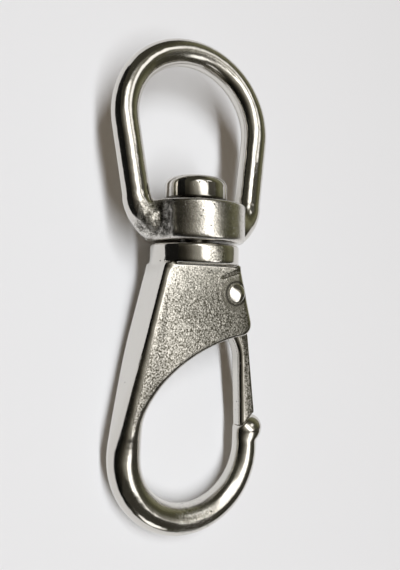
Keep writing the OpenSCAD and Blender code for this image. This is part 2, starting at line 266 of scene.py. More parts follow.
def step(values, low, high):
    k = np.clip((values - low) / (high - low), 0, 1)
    return k * k * (3 - 2 * k)


# %% [markdown]
# The hook itself. Its outer edge runs straight down the spine to the bend. Its inner edge
# runs down the cheeks, round their lower corner, and along the long throat into the rod.
# Round the bend the rod thins towards the nose, which ends in a rounded lip with a slanted
# seat for the gate.

# %% Hook: sizes
BODY_T = 9.5
SHOULDER = np.array([-7.5, -3.5])
CHEEK_TOP = np.array([7.3, -3.5])
CHEEK_CORNER = np.array([10.5, -15.5])
CORNER_R = 2.0
THROAT_R, THROAT_SLOPE, BLEND_R = 21.8, 7, 9
ROD_R, NOSE_R = 2.85, 2.25
BEND_R = 11.9
BEND = np.array([-0.4, -36.0])
ROD_X = BEND[0] + BEND_R
LIP = np.array([ROD_X + 1.0, BEND[1] + 3.0])
LIP_R, SEAT_SLOPE, SEAT_OFF = 2.45, 42, 2.2
PIN = np.array([6.15, -8.3])
HUB_R, SLOT_GAP = 2.6, 0.35
GATE_T, CHEEK_GAP = 4.2, 0.15
COLLAR_R, COLLAR_H, COLLAR_EDGE = 7.9, 3.5, 0.5
SPINE_EDGE, CHEEK_EDGE = (1.7, 1.2), (1.15, 0.9)
# Where the housing begins to thin and to turn round, as shares of its length.
THIN_FROM, THIN_RUN = 0.42, 0.88
ROUND_FROM, SPINE_ROUND_FROM, SPINE_ROUND_POWER = 0.45, 0.4, 2.2
PAST_END = 0.3
# The lip's skin is closed at this angle, on a flat of this share of its radius.
LIP_TOP_A, LIP_TOP, LIP_FLAT = 80, 0.65, 0.3
RECESS_R, RECESS_DEPTH = 2.15, 0.6


def rod_at(a):
    return mix(ROD_R, NOSE_R, ((a - 180) / 180) ** 2)


def half_depth(s):
    """Half the thickness, at a share s of the housing's length. It goes on falling past 1."""
    return mix(BODY_T / 2, ROD_R, smooth((s - THIN_FROM) / THIN_RUN))


# %% Hook: edges and rungs
outer_r, inner_x = BEND_R + ROD_R, BEND[0] - BEND_R + ROD_R
to_shoulder = SHOULDER - BEND
spine_a = bearing(to_shoulder) + math.degrees(math.acos(outer_r / np.linalg.norm(to_shoulder)))
spine_foot = BEND + outer_r * unit(spine_a)
cheek_dir = (CHEEK_CORNER - CHEEK_TOP) / np.linalg.norm(CHEEK_CORNER - CHEEK_TOP)
throat_dir = -unit(THROAT_SLOPE)
corner_half = math.acos(float(-cheek_dir @ throat_dir)) / 2
throat_start = CHEEK_CORNER + throat_dir * CORNER_R / math.tan(corner_half)
throat_c = throat_start + THROAT_R * unit(THROAT_SLOPE - 90)
blend_x = inner_x + BLEND_R
blend_rise = math.sqrt((THROAT_R - BLEND_R) ** 2 - (blend_x - throat_c[0]) ** 2)
blend_c = np.array([blend_x, throat_c[1] + blend_rise])
throat_end = bearing(blend_c - throat_c)
corner = fillet(CHEEK_TOP, CHEEK_CORNER, CHEEK_CORNER + throat_dir, CORNER_R, 14)
inner_edge = (line(CHEEK_TOP, corner[0], 16)[:-1] + corner
              + arc(throat_c, THROAT_R, 90 + THROAT_SLOPE, throat_end, 60)[1:]
              + arc(blend_c, BLEND_R, throat_end, 180, 16)[1:])

housing = []
for s, inner in zip(shares(inner_edge), inner_edge):
    soft = smooth((s - ROUND_FROM) / (1 - ROUND_FROM))
    spine_soft = max(0, (s - SPINE_ROUND_FROM) / (1 - SPINE_ROUND_FROM)) ** SPINE_ROUND_POWER
    housing.append((mix(SHOULDER, spine_foot, s), inner, half_depth(s), spine_soft, soft))

bend = [(BEND + outer_r * unit(mix(spine_a, 180, k)),
         np.array([inner_x, mix(blend_c[1], BEND[1], k)]), half_depth(1 + PAST_END * k), 1, 1)
        for k in (0.25, 0.5, 0.75, 1)]
for a in np.linspace(180, 360, 91)[1:]:
    r = rod_at(a)
    bend.append((BEND + (BEND_R + r) * unit(a), BEND + (BEND_R - r) * unit(a), r, 1, 1))

neck_a = -math.degrees(math.acos((NOSE_R - (LIP[0] - ROD_X)) / LIP_R))
neck_y, tip_y = LIP[1] + LIP_R * math.sin(math.radians(neck_a)), LIP[1] + LIP_TOP * LIP_R
nose = []
for k in np.linspace(0, 1, 25):
    a = mix(neck_a, LIP_TOP_A, k)
    rounded = LIP_FLAT + (1 - LIP_FLAT) * math.cos(math.radians(a))
    t = mix(NOSE_R, LIP_R, k) if a < 0 else LIP_R * rounded
    nose.append((LIP + LIP_R * unit(a), np.array([ROD_X - NOSE_R, mix(neck_y, tip_y, k)]), t, 1, 1))
print(f"rungs: {len(housing)} in the housing, {len(bend)} in the bend, {len(nose)} in the nose")

# %% Hook: casting
# The housing's top sinks a little way into the collar, so that the two join.
lift = np.array([0, 0.1])
top = (SHOULDER + lift, CHEEK_TOP + lift, BODY_T / 2, 0, 0)
hook = loft("hook_casting", [top] + housing + bend + nose, (SPINE_EDGE, CHEEK_EDGE), 12)


def seat_block(side, gap):
    """Block on the gate's side of the slanted seat (1), or on the lip's side (-1)."""
    y = SEAT_OFF + gap
    return block((-2 * LIP_R, y if side > 0 else y - 2 * LIP_R, -BODY_T),
                 (1.2 * LIP_R, y + 2 * LIP_R if side > 0 else y, BODY_T), SEAT_SLOPE, LIP)


combine(hook, seat_block(1, 0), "DIFFERENCE")
combine(hook, turned("collar", plug(COLLAR_R, -COLLAR_H, 0, COLLAR_EDGE, COLLAR_EDGE)), "UNION")
slot_half = GATE_T / 2 + CHEEK_GAP
slot_low = (PIN[0] - HUB_R - SLOT_GAP, CHEEK_CORNER[1] - 6, -slot_half)
slot_high = (CHEEK_CORNER[0] + 5, PIN[1] + HUB_R + SLOT_GAP, slot_half)
combine(hook, block(slot_low, slot_high), "DIFFERENCE")
for side in (1, -1):
    z0, z1 = sorted((side * (BODY_T / 2 - RECESS_DEPTH), side * BODY_T))
    combine(hook, bore(*PIN, RECESS_R, z0, z1), "DIFFERENCE")
cast(hook, cell=0.2, relax=6)

# %% [markdown]
# The bow is one casting with its boss. Its limbs thicken where they run into the boss, and
# the relaxed cells leave the cove that a foundry leaves there.

# %% Bow
BOSS_R, BOSS_FOOT_R, BOSS_EDGE = 8.9, 0.9, 0.5
STUD_R, SWIVEL_GAP = 2.75, 0.1
BOW_R, ARCH_R, BOW_LENGTH, BOW_LEAN = 2.4, 13.1, 37.2, 5.2
LIMB_LEAN, ELBOW_RISE, ELBOW_R, ELBOW_END = 8.5, 7.1, 4.5, -72
ROOT_FLARE, ROOT_RUN, ROOT_COVE, COVE_RUN = 0.5, 3, 0.5, 2
boss_foot, boss_top = BOSS_GAP, BOSS_GAP + BOSS_H
arch_c = np.array([0, boss_foot + BOW_LENGTH - BOW_R - ARCH_R])
limb_top = arch_c + ARCH_R * unit(-LIMB_LEAN)
lean = math.radians(LIMB_LEAN)
limb_foot = limb_top - (limb_top[1] - boss_foot - ELBOW_RISE) * np.array([math.tan(lean), 1])
elbow_c = limb_foot - ELBOW_R * unit(-LIMB_LEAN)
inside_boss = elbow_c + ELBOW_R * unit(ELBOW_END) - unit(ELBOW_END + 90)
half = ([inside_boss] + arc(elbow_c, ELBOW_R, ELBOW_END, -LIMB_LEAN, 24)
        + line(limb_foot, limb_top, 16)[1:] + arc(arch_c, ARCH_R, -LIMB_LEAN, 90, 60)[1:])
bow_path = half + [np.array([-p[0], p[1]]) for p in reversed(half[:-1])]


def wire(path, radius):
    """Rungs of a round wire along a plane path."""
    rungs = []
    for i, p in enumerate(path):
        d = path[min(i + 1, len(path) - 1)] - path[max(i - 1, 0)]
        side = np.array([-d[1], d[0]]) / np.linalg.norm(d) * radius(p)
        rungs.append((p - side, p + side, radius(p), 1, 1))
    return rungs


def limb_radius(p):
    if p[1] >= limb_foot[1]:
        return BOW_R
    flare = ROOT_FLARE * smooth((BOSS_R + ROOT_RUN - abs(p[0])) / ROOT_RUN)
    return BOW_R + flare + ROOT_COVE * smooth((BOSS_R + COVE_RUN / 2 - abs(p[0])) / COVE_RUN)


bow = loft("bow_casting", wire(bow_path, limb_radius), n=16)
leaning = Matrix.Rotation(-math.radians(BOW_LEAN), 4, "X")
bow.data.transform(Matrix.Translation((0, BOSS_MID, 0)) @ leaning @ Matrix.Translation((0, -BOSS_MID, 0)))
combine(bow, turned("boss", plug(BOSS_R, boss_foot, boss_top, BOSS_FOOT_R, BOSS_EDGE)), "UNION")
bore_r = STUD_R + SWIVEL_GAP
combine(bow, turned("cutter", [(bore_r, 0), (bore_r, 2 * boss_top)], 64), "DIFFERENCE")
cast(bow, cell=0.18, relax=6)

# %% [markdown]
# The left limb was gated there: the metal ran into the mould through its root, and the
# stub was snapped off and never dressed. It left a rough patch with a ragged ridge along
# the side of the boss. Moving the points of the cast skin in and out by smooth noise
# gives the patch real relief, which also shows from the side.

# %% Rough root of the bow
PATCH = ((-12.6, -11.4), (-7.6, -6.6), (0.2, 1.2), (6.2, 7.4))
LUMPS, SINK = ((0.8, 0.08), (0.4, 0.04)), 0.04
RIDGE_X, RIDGE_W, RIDGE_H, RIDGE_SPAN = -7.05, 0.3, 0.16, ((0.8, 1.6), (5.6, 6.6))
# How far the ridge wanders to the sides, and over what length.
WANDER, WANDER_RUN = 0.3, 1.3


def window(values, edges):
    """1 between two soft edges, each a (start, end) pair, and 0 outside them."""
    return step(values, *edges[0]) * (1 - step(values, *edges[1]))


def noise_at(points, size):
    """Smooth noise at points in millimetres, about -1 to 1, with lumps of the given size."""
    return np.array([noise.noise(Vector(p) / size) for p in points.astype(float)])


def push(obj, depths):
    """Move each vertex along its normal."""
    moved = coordinates(obj) + normals(obj) * np.asarray(depths)[:, None]
    obj.data.vertices.foreach_set("co", moved.astype(np.float32).ravel())
    obj.data.update()


def on_patch(points):
    in_plane = window(points[:, 0], PATCH[:2]) * window(points[:, 1], PATCH[2:])
    return in_plane * step(points[:, 2], -1.5, 0.5)


p = coordinates(bow)
patch = on_patch(p)
lumps = sum(noise_at(p, size) * high for size, high in LUMPS) - SINK
wander = WANDER * noise_at(p * (0, 1, 0), WANDER_RUN)
ragged = np.exp(-((p[:, 0] - RIDGE_X - wander) / RIDGE_W) ** 2)
ridge = ragged * window(p[:, 1], RIDGE_SPAN) * step(p[:, 2], 0, 2)
push(bow, patch * lumps + ridge * RIDGE_H)
print(f"rough patch: {int((patch > 0.5).sum())} points")

# %% [markdown]
# The gate is a small casting too. Its root lies in the hook's slot round the pin, and its
# arm runs flush with the cheeks down to a slanted tip. Two ears leave room for the spring.

# %% Gate
GATE_W, TRAVEL, ARM_LEAN, TIP_INSET, TIP_RISE = 3.2, 30, 2.5, 0.45, 0.3
OUTER_BEND_R, ROOT_BEND_R, HUB_START = 12, 7, 6
GATE_EDGES, SEAT_GAP = ((1.5, 1.1), (0.45, 0.4)), 0.12
flush_a = 90 + bearing(cheek_dir)


def down(a):
    return np.array([math.sin(math.radians(a)), -math.cos(math.radians(a))])


def turn(a, b):
    return a[0] * b[1] - a[1] * b[0]


outer_start, inner_start = PIN + HUB_R * unit(flush_a), PIN - HUB_R * unit(TRAVEL)
tip_in = np.array([ROD_X - NOSE_R + TIP_INSET, LIP[1]])
tip_out = tip_in + np.array([GATE_W, TIP_RISE * GATE_W])
knee_drop = -CHEEK_CORNER[1] + outer_start[1]
knee = outer_start + down(flush_a) * knee_drop / math.cos(math.radians(flush_a))
arm_v, root_v = down(ARM_LEAN), down(TRAVEL)
flare = inner_start + root_v * turn(tip_in - inner_start, arm_v) / turn(root_v, arm_v)
arm_outer = [outer_start] + fillet(outer_start, knee, tip_out, OUTER_BEND_R, 10) + [tip_out]
arm_inner = [inner_start] + fillet(inner_start, flare, tip_in, ROOT_BEND_R, 14) + [tip_in]
hub = list(zip(arc(PIN, HUB_R, 90 + HUB_START, 180 + TRAVEL, 20)[:-1],
               arc(PIN, HUB_R, 90 - HUB_START, flush_a, 20)[:-1]))
arm = [(along(arm_inner, s), along(arm_outer, s)) for s in np.linspace(0, 1, 61)]
gate = loft("gate_casting", [(a, b, GATE_T / 2, 0, 0) for a, b in hub + arm], GATE_EDGES, 8)
combine(gate, seat_block(-1, SEAT_GAP), "DIFFERENCE")
print(f"gate: {np.linalg.norm(tip_in - PIN):.1f} mm from its pin to its tip")

# %% Gate: bore and spring pocket
PIN_R, PIN_GAP, WIRE, TURNS, SPRING_GAP, LEG_GAP = 1.3, 0.05, 0.5, 3, 0.1, 0.02
LEG, LEG_RISE, COIL_PITCH = 5.5, 20, 1.08
coil_r = PIN_R + SPRING_GAP + WIRE / 2
coil_end = 90 - LEG_RISE
sweep = 360 * TURNS + coil_end - flush_a
coil_w = WIRE * COIL_PITCH * sweep / 360
pocket = coil_w / 2 + WIRE / 2 + SPRING_GAP
wall_x = coil_r + WIRE / 2 + LEG_GAP
leg_room = block((-3 * HUB_R, -LEG - 2 * SPRING_GAP, -pocket), (wall_x, 0, pocket), flush_a, PIN)
back_room = block((-2 * HUB_R, -0.5 * HUB_R, -pocket), (0.35 * HUB_R, 1.5 * HUB_R, pocket), 0, PIN)
pin_bore, coil_room = bore(*PIN, PIN_R + PIN_GAP, -GATE_T, GATE_T), bore(*PIN, wall_x, -pocket, pocket)
for cutter in (pin_bore, coil_room, leg_room, back_room):
    combine(gate, cutter, "DIFFERENCE")
cast(gate, cell=0.12, relax=4)

# %% [markdown]
# The spring is drawn wire wound round the pin. One leg presses on the gate and the other
# on the top of the slot. It shows only from below, through the slot.

# %% Spring
def coil_at(k, out=0.0, v=(0, 0)):
    p = PIN + coil_r * unit(flush_a + sweep * k) + out * np.array(v)
    return np.array([p[0], p[1], coil_w * (k - 0.5)])


leg_top = HUB_R + SLOT_GAP - LEG_GAP - WIRE / 2
top_leg = (leg_top - coil_r * math.sin(math.radians(coil_end))) / math.cos(math.radians(coil_end))
spring_path = ([coil_at(0, s, down(flush_a)) for s in np.linspace(LEG, 0.2, 12)]
               + [coil_at(k) for k in np.linspace(0, 1, 40 * TURNS)]
               + [coil_at(1, s, -unit(-LEG_RISE)) for s in np.linspace(0.2, top_leg, 8)])
round_wire = np.linspace(0, 2 * math.pi, 17)[:-1]
rings = []
for i, p in enumerate(spring_path):
    d = spring_path[min(i + 1, len(spring_path) - 1)] - spring_path[max(i - 1, 0)]
    d /= np.linalg.norm(d)
    u = np.cross(d, (0, 0, 1))
    u /= np.linalg.norm(u)
    v = np.cross(d, u)
    rings.append([p + WIRE / 2 * (u * math.cos(a) + v * math.sin(a)) for a in round_wire])
spring = solid("spring_wire", *skin(rings))
spring.data.shade_smooth()
print(f"spring: {sweep / 360:.1f} turns of {WIRE} mm wire, {coil_w:.1f} mm wide")

# %% [markdown]
# The stud and the gate's pin are turned, not cast, so they keep crisp rims. The stud's head
# is forged over like a fat rivet, and the pin's two heads are low domes, hammered a little to
# one side. They are spun profiles with smooth shading, broken only at the sharp rims.

# %% Stud and pin
HEAD_GAP, HEAD_R, HEAD_H, HEAD_FOOT_R, HEAD_EDGE = 0.7, 5.5, 4.0, 0.35, 1.6
STUD_DEPTH = 4.8
PIN_HEAD_R, PIN_HEAD_H, PIN_FOOT, PIN_SLIP = 1.75, 0.6, BODY_T / 2 - 0.3, 0.7
RIM_ANGLE = 40
# A pin head as shares of its radius and height: a steep rim, a long slope and a rounded top.
DOME = ((1, 0), (0.985, 0.12), (0.94, 0.24), (0.87, 0.35), (0.77, 0.47), (0.64, 0.6),
        (0.49, 0.74), (0.33, 0.87), (0.18, 0.96), (0.08, 0.99), (0.003, 1))


def crisp(obj):
    obj.data.shade_smooth()
    obj.data.set_sharp_from_angle(angle=math.radians(RIM_ANGLE))
    return obj


head_foot = boss_top + HEAD_GAP
stud = crisp(turned("stud_turned", [(0.01, -STUD_DEPTH), (STUD_R, -STUD_DEPTH), (STUD_R, head_foot)]
                    + plug(HEAD_R, head_foot, head_foot + HEAD_H, HEAD_FOOT_R, HEAD_EDGE)[1:], 128))
half_pin = [(PIN_R, 0), (PIN_R, PIN_FOOT)] + [(PIN_HEAD_R * r, PIN_FOOT + PIN_HEAD_H * h) for r, h in DOME]
pin_profile = [(r, -z) for r, z in reversed(half_pin)] + half_pin[1:]
pin = crisp(turned("pin_riveted", pin_profile, 64, axis_y=False))
# The hammer came from one side, so the top of each head sits off its centre.
at = coordinates(pin)
at[:, 0] += PIN_SLIP * np.maximum(np.abs(at[:, 2]) - PIN_FOOT, 0) / PIN_HEAD_H
pin.data.vertices.foreach_set("co", at.ravel())
pin.data.transform(Matrix.Translation((*PIN, 0)))
print(f"stud head up to {head_foot + HEAD_H:.2f} mm, pin {2 * (PIN_FOOT + PIN_HEAD_H):.2f} mm long")

# %% [markdown]
# A cast face is never quite flat: the cheeks fall away a little to both sides, and the gate's
# faces have some draft. Two marks are left in the blasted cheeks. Riveting the pin pressed a
# shallow ring round it, and the die that held the hook left a slanted crease above it. Both
# are grooves in the mesh.

# %% Crowned faces and marks
CROWN, CROWN_X, CROWN_LEFT, CROWN_LEFT_X = 0.0019, -3, 2.5, -1
DRAFT, DRAFT_X = 0.09, 6.6
RING_R, RING_W, RING_DEPTH = 3.6, 0.2, 0.028
CREASE = (np.array([3.4, -5.5]), np.array([7.0, -4.3]))
CREASE_W, CREASE_DEPTH = 0.22, 0.12


def off_line(points, a, b):
    """Distance of plane points from the line between a and b."""
    d = b - a
    k = np.clip((points - a) @ d / (d @ d), 0, 1)[:, None]
    return np.linalg.norm(points - a - k * d, axis=1)


def thin(obj, points, amounts):
    """Move points towards the middle of the thickness."""
    points[:, 2] -= np.sign(points[:, 2]) * amounts
    obj.data.vertices.foreach_set("co", points.ravel())
    obj.data.update()


p = coordinates(hook)
on_housing = step(np.abs(p[:, 2]), 1, 3) * (1 - step(p[:, 1], -4.5, -3.5)) * step(p[:, 1], -30, -22)
thin(hook, p, CROWN * (np.clip(p[:, 0] - CROWN_X, 0, 12) ** 2
                       + CROWN_LEFT * np.clip(CROWN_LEFT_X - p[:, 0], 0, 6) ** 2) * on_housing)
q = coordinates(gate)
thin(gate, q, DRAFT * np.clip(q[:, 0] - DRAFT_X, 0, 4) * (np.abs(q[:, 2]) > 1))

on_cheek = step(np.abs(normals(hook)[:, 2]), 0.9, 0.98)
from_pin = np.linalg.norm(p[:, :2] - PIN, axis=1)
from_crease = off_line(p[:, :2], *CREASE)
lower_left = step(PIN[0] - p[:, 0], -2.0, -0.5) * step(PIN[1] - p[:, 1], -2.5, 0.5)
ring = np.exp(-((from_pin - RING_R) / RING_W) ** 2) * lower_left
crease = np.exp(-(from_crease / CREASE_W) ** 2) * (p[:, 2] > 0)
push(hook, -on_cheek * (RING_DEPTH * ring + CREASE_DEPTH * crease))
print(f"crease: {np.linalg.norm(CREASE[1] - CREASE[0]):.1f} mm long, {CREASE_DEPTH} mm deep")

# %% [markdown]
# Blasted, satin and polished surfaces run into each other, so each piece carries three numbers
# per vertex. `matte` says how blasted the skin is, from 0 for a mirror to 1 for the flats,
# and `pitted` says how open the casting is there. The third number darkens the skin: it is
# painted shade on the cheeks, in the crease, round the pin's recess, on the gate's faces and
# under the stud's head, and real grime on the bow's rough root. All of them come from the
# shape and the place.

# %% Surface numbers
# Where the finishes change, each as a run in millimetres from none to full.
FLATS_Y, ROD_Y, OFF_PIN = (-38, -28), (-24, -12), (2.6, 3.3)
WORN_X, OFF_WORN_Y = ((-5, -2), (3, 6)), (-46, -43.5)
DULLED_X, DULLED_Y = (-7, -2), (29, 35)
# Painted shade on the cheeks, as an amount and the run over which it comes in, downwards or to the right.
SHADE_DOWN, SHADE_RIGHT = ((0.36, 4, 10), (0.1, 13, 24)), (0.07, -1, 8)
# How far out the cheeks' skin lies, and the painted shade's width in the crease and its radius and width
# round the pin's recess.
CHEEK_Z, CREASE_SHADE_W, RECESS_SHADE_R, RECESS_SHADE_W = 3.9, 0.15, 2.05, 0.25


def surface(obj, matte, pitted, grime_and_shade):
    for name, values in (("matte", matte), ("pitted", pitted), ("grime_and_shade", grime_and_shade)):
        note(obj, name, np.clip(values + np.zeros(len(obj.data.vertices)), 0, 1))
    print(f"{obj.name}: matte {np.mean(matte):.2f} and pitted {np.mean(pitted):.2f} on average")


def facing(obj):
    """How squarely each vertex faces out of the hook's plane, from 0 to 1."""
    return np.abs(normals(obj)[:, 2])


p = coordinates(hook)
flats = step(facing(hook), 0.95, 0.99) * step(p[:, 1], *FLATS_Y)
rod = 1 - step(p[:, 1], *ROD_Y)
near_pin = 1 - step(from_pin, *OFF_PIN)
# The bottom of the bend is worn where a ring rubs it.
worn = window(p[:, 0], WORN_X) * (1 - step(p[:, 1], *OFF_WORN_Y))
# Painted shade darkens the cheeks downwards and towards the gate, and lies in the crease and round the
# pin's recess.
on_skin = np.abs(p[:, 2]) > CHEEK_Z
painted_cheek_shade = sum(amount * step(-p[:, 1], *run) for amount, *run in SHADE_DOWN)
painted_cheek_shade += SHADE_RIGHT[0] * step(p[:, 0], *SHADE_RIGHT[1:])
from_crease = off_line(p[:, :2], *CREASE)
# Painted shade along the crease and in a ring round the pin's recess, on the cheeks' skin only.
shade_in_crease = 0.8 * np.exp(-(from_crease / CREASE_SHADE_W) ** 2) * (p[:, 2] > 0) * on_skin
shade_round_recess = np.exp(-((from_pin - RECESS_SHADE_R) / RECESS_SHADE_W) ** 2) * on_skin
surface(hook, np.maximum.reduce([flats * (1 - 0.35 * near_pin), 0.22 * rod, 0.8 * worn]),
        0.12 + 0.35 * worn, np.maximum.reduce([flats * painted_cheek_shade, shade_in_crease, shade_round_recess]))
# On the gate, painted shade darkens the faces that look out of the plane.
surface(gate, step(facing(gate), 0.96, 0.995), 0.3, 0.55 * step(facing(gate), 0.9, 0.99))
# The boss is satin with open pits, the bow's crown is dulled, and its root is left as cast.
p = coordinates(bow)
patch = on_patch(p)
on_boss = (np.hypot(p[:, 0], p[:, 2]) < BOSS_R + 0.2) * (p[:, 1] < boss_top + 0.2)
dulled = step(p[:, 1], *DULLED_Y) * step(p[:, 0], *DULLED_X)
surface(bow, np.maximum.reduce([0.06 + 0.6 * on_boss, 0.95 * patch, 0.5 * dulled]),
        0.15 + 0.55 * on_boss + patch, patch * (0.25 + 0.7 * noise_at(p, 1.0)))
# On the stud, painted shadow darkens everything up to just above the foot of its head, a dark line where
# the head sits over the boss.
surface(stud, 0, 0.6, 0.9 * (1 - step(coordinates(stud)[:, 1], head_foot + 0.2, head_foot + 0.6)))
surface(pin, 0, 0.1, 0)
surface(spring, 0, 0, 0)

# %% [markdown]
# Materials. The whole hook is 316 stainless steel, the usual marine grade: a slightly warm
# grey metal. Only its surface changes. Tumbling and buffing give the round forms a mirror
# with a few open casting pits, and bead blasting leaves the flats finely dimpled, so that
# they glitter and don't mirror.

# %% Colours and nodes
def srgb(code):
    """Turn a hex colour to linear light, which is what the shader sockets take."""
    values = [int(code[i:i + 2], 16) / 255 for i in (1, 3, 5)]
    return (*[v / 12.92 if v <= 0.04045 else ((v + 0.055) / 1.055) ** 2.4 for v in values], 1)


def add(tree, kind, settings=None, **links):
    """Add a node. Settings are its properties, and links are its sockets: a value or another socket."""
    node = tree.nodes.new(kind)
    for key, value in (settings or {}).items():
        setattr(node, key, value)
    for key, value in links.items():
        socket = node.inputs[int(key[1:])] if key[0] == "_" else node.inputs[key.replace("_", " ")]
        if isinstance(value, bpy.types.NodeSocket):
            tree.links.new(value, socket)
        else:
            socket.default_value = value
    return node


# Settings that many nodes share.
SOFT, COLOUR = {"interpolation_type": "SMOOTHSTEP"}, {"data_type": "RGBA"}
TIMES, TIMES_PLUS = {"operation": "MULTIPLY"}, {"operation": "MULTIPLY_ADD"}
MOST, ALONG = {"operation": "MAXIMUM"}, {"operation": "DOT_PRODUCT"}


def per_mm(size):
    """Texture scale, in object space, of a pattern whose grains are size millimetres wide."""
    return 1 / (size * MM)


def new_material(name):
    material = bpy.data.materials.new(name)
    material.use_nodes = True
    material.node_tree.nodes.clear()
    return material, material.node_tree


# %% Stainless steel
# The steel's own colour, then a painted highlight for the peaks of the blasted dimples and painted shade
# for their valleys, then the darkest colour, for pits, real grime and painted shade.
STEEL, PEAK_HIGHLIGHT, VALLEY_SHADE, PIT_GRIME_AND_SHADE = "#D9D6D0", "#FFFCF6", "#5F5C52", "#3A362F"
# Sizes of the patterns in millimetres, then heights of the relief in millimetres.
WAVE, GRAIN, DIMPLE, HAZE, PIT_CELL = 3.2, 0.3, 0.3, 1.1, 0.5
WAVE_H, GRIT, FINE, PIT_DEPTH = 0.09, 0.026, 0.002, 0.05
# A pit's floor and rim, as shares of its cell, and how open the skin is before it is raw.
PIT_CHANCE, PIT_FLOOR, PIT_RIM, RAW_FROM = 0.62, 0.14, 0.3, 0.88
# How much grime and painted shade darken the dimples, the range of the dimples' painted light and shade
# from pale to dark, and the haze's range and how far it takes the roughness up and down.
GRIME_AND_SHADE_DEEPENS, DIMPLE_LIGHT_RANGE, HAZE_RANGE, HAZE_SPREAD = -0.35, (0.62, 0.2), (0.3, 0.7), 0.3


def steel(name, polished, blasted=0.3, raw_cast=0.4):
    """Stainless steel, with the roughness of its polished, blasted and raw cast skin."""
    material, tree = new_material(name)
    place = add(tree, "ShaderNodeTexCoord").outputs["Object"]
    matte, pitted, grime_and_shade = [add(tree, "ShaderNodeAttribute", {"attribute_name": key}).outputs["Fac"]
                            for key in ("matte", "pitted", "grime_and_shade")]
    # Polishing follows the cast skin, so the mirror is never quite flat.
    wave = add(tree, "ShaderNodeTexNoise", Vector=place, Scale=per_mm(WAVE), Detail=1.5).outputs["Fac"]
    # Bead dimples are about 0.1 mm wide on the real one, and are drawn coarser to show.
    grain = add(tree, "ShaderNodeTexNoise", Vector=place, Scale=per_mm(GRAIN), Detail=2.0,
                Roughness=0.65).outputs["Fac"]
    # Open pits of the casting, where gas sat against the shell. A few cells hold one.
    cells = add(tree, "ShaderNodeTexVoronoi", Vector=place, Scale=per_mm(PIT_CELL)).outputs
    chance = add(tree, "ShaderNodeMapRange", _0=pitted, _3=1.0, _4=PIT_CHANCE).outputs[0]
    chosen = add(tree, "ShaderNodeMath", {"operation": "GREATER_THAN"},
                 _0=cells["Color"], _1=chance).outputs[0]
    hole = add(tree, "ShaderNodeMapRange", SOFT, _0=cells["Distance"],
               _1=PIT_FLOOR, _2=PIT_RIM, _3=1.0, _4=0.0).outputs[0]
    pits = add(tree, "ShaderNodeMath", TIMES, _0=chosen, _1=hole).outputs[0]
    # All the relief is one height in millimetres.
    dimples = add(tree, "ShaderNodeTexVoronoi", Vector=place, Scale=per_mm(DIMPLE)).outputs
    rough_h = add(tree, "ShaderNodeMath", {"operation": "ADD"}, _0=grain, _1=dimples["Distance"]).outputs[0]
    peened = add(tree, "ShaderNodeMath", {"operation": "POWER"}, _0=matte, _1=3.0).outputs[0]
    relief = add(tree, "ShaderNodeMapRange", _0=peened, _3=FINE, _4=GRIT).outputs[0]
    grit = add(tree, "ShaderNodeMath", TIMES, _0=rough_h, _1=relief).outputs[0]
    skin_h = add(tree, "ShaderNodeMath", TIMES_PLUS, _0=wave, _1=WAVE_H, _2=grit).outputs[0]
    height = add(tree, "ShaderNodeMath", TIMES_PLUS, _0=pits, _1=-PIT_DEPTH, _2=skin_h).outputs[0]
    bump = add(tree, "ShaderNodeBump", Strength=1.0, Distance=MM, Height=height).outputs[0]
    # The blasted skin carries painted shade in its dimples and a painted highlight on their peaks. It is
    # darker where grime and painted shade lie, and a pit is darkest.
    dimple_light = add(tree, "ShaderNodeTexNoise", Vector=place, Scale=per_mm(GRAIN), Detail=1.0).outputs["Fac"]
    grimy_and_shaded = add(tree, "ShaderNodeMath", TIMES_PLUS, _0=grime_and_shade, _1=GRIME_AND_SHADE_DEEPENS, _2=dimple_light).outputs[0]
    low = add(tree, "ShaderNodeMapRange", _0=grimy_and_shaded, _1=DIMPLE_LIGHT_RANGE[0], _2=DIMPLE_LIGHT_RANGE[1]).outputs[0]
    dimples_lit_and_shaded = add(tree, "ShaderNodeMix", COLOUR, _0=low, _6=srgb(PEAK_HIGHLIGHT), _7=srgb(VALLEY_SHADE)).outputs[2]
    skin_c = add(tree, "ShaderNodeMix", COLOUR, _0=peened, _6=srgb(STEEL), _7=dimples_lit_and_shaded).outputs[2]
    # Heavy grime and painted shade turn the colour towards the darkest one, as a pit does.
    caked_and_shaded = add(tree, "ShaderNodeMath", TIMES, _0=grime_and_shade, _1=grime_and_shade).outputs[0]
    pits_grime_and_shade = add(tree, "ShaderNodeMath", MOST, _0=pits, _1=caked_and_shaded).outputs[0]
    colour = add(tree, "ShaderNodeMix", COLOUR, _0=pits_grime_and_shade, _6=skin_c, _7=srgb(PIT_GRIME_AND_SHADE)).outputs[2]
    # The polish is hazier in some places than in others.
    haze = add(tree, "ShaderNodeTexNoise", Vector=place, Scale=per_mm(HAZE), Detail=3.0).outputs["Fac"]
    buffed = add(tree, "ShaderNodeMapRange", _0=haze, _1=HAZE_RANGE[0], _2=HAZE_RANGE[1],
                 _3=polished * (1 - HAZE_SPREAD), _4=polished * (1 + HAZE_SPREAD)).outputs[0]
    gloss = add(tree, "ShaderNodeMapRange", _0=matte, _3=buffed, _4=blasted).outputs[0]
    raw = add(tree, "ShaderNodeMapRange", _0=pitted, _1=RAW_FROM, _2=1.0, _4=raw_cast).outputs[0]
    gloss = add(tree, "ShaderNodeMath", MOST, _0=gloss, _1=raw).outputs[0]
    shader = add(tree, "ShaderNodeBsdfPrincipled", Base_Color=colour, Roughness=gloss, Normal=bump,
                 Metallic=1.0)
    add(tree, "ShaderNodeOutputMaterial", Surface=shader.outputs[0])
    return material


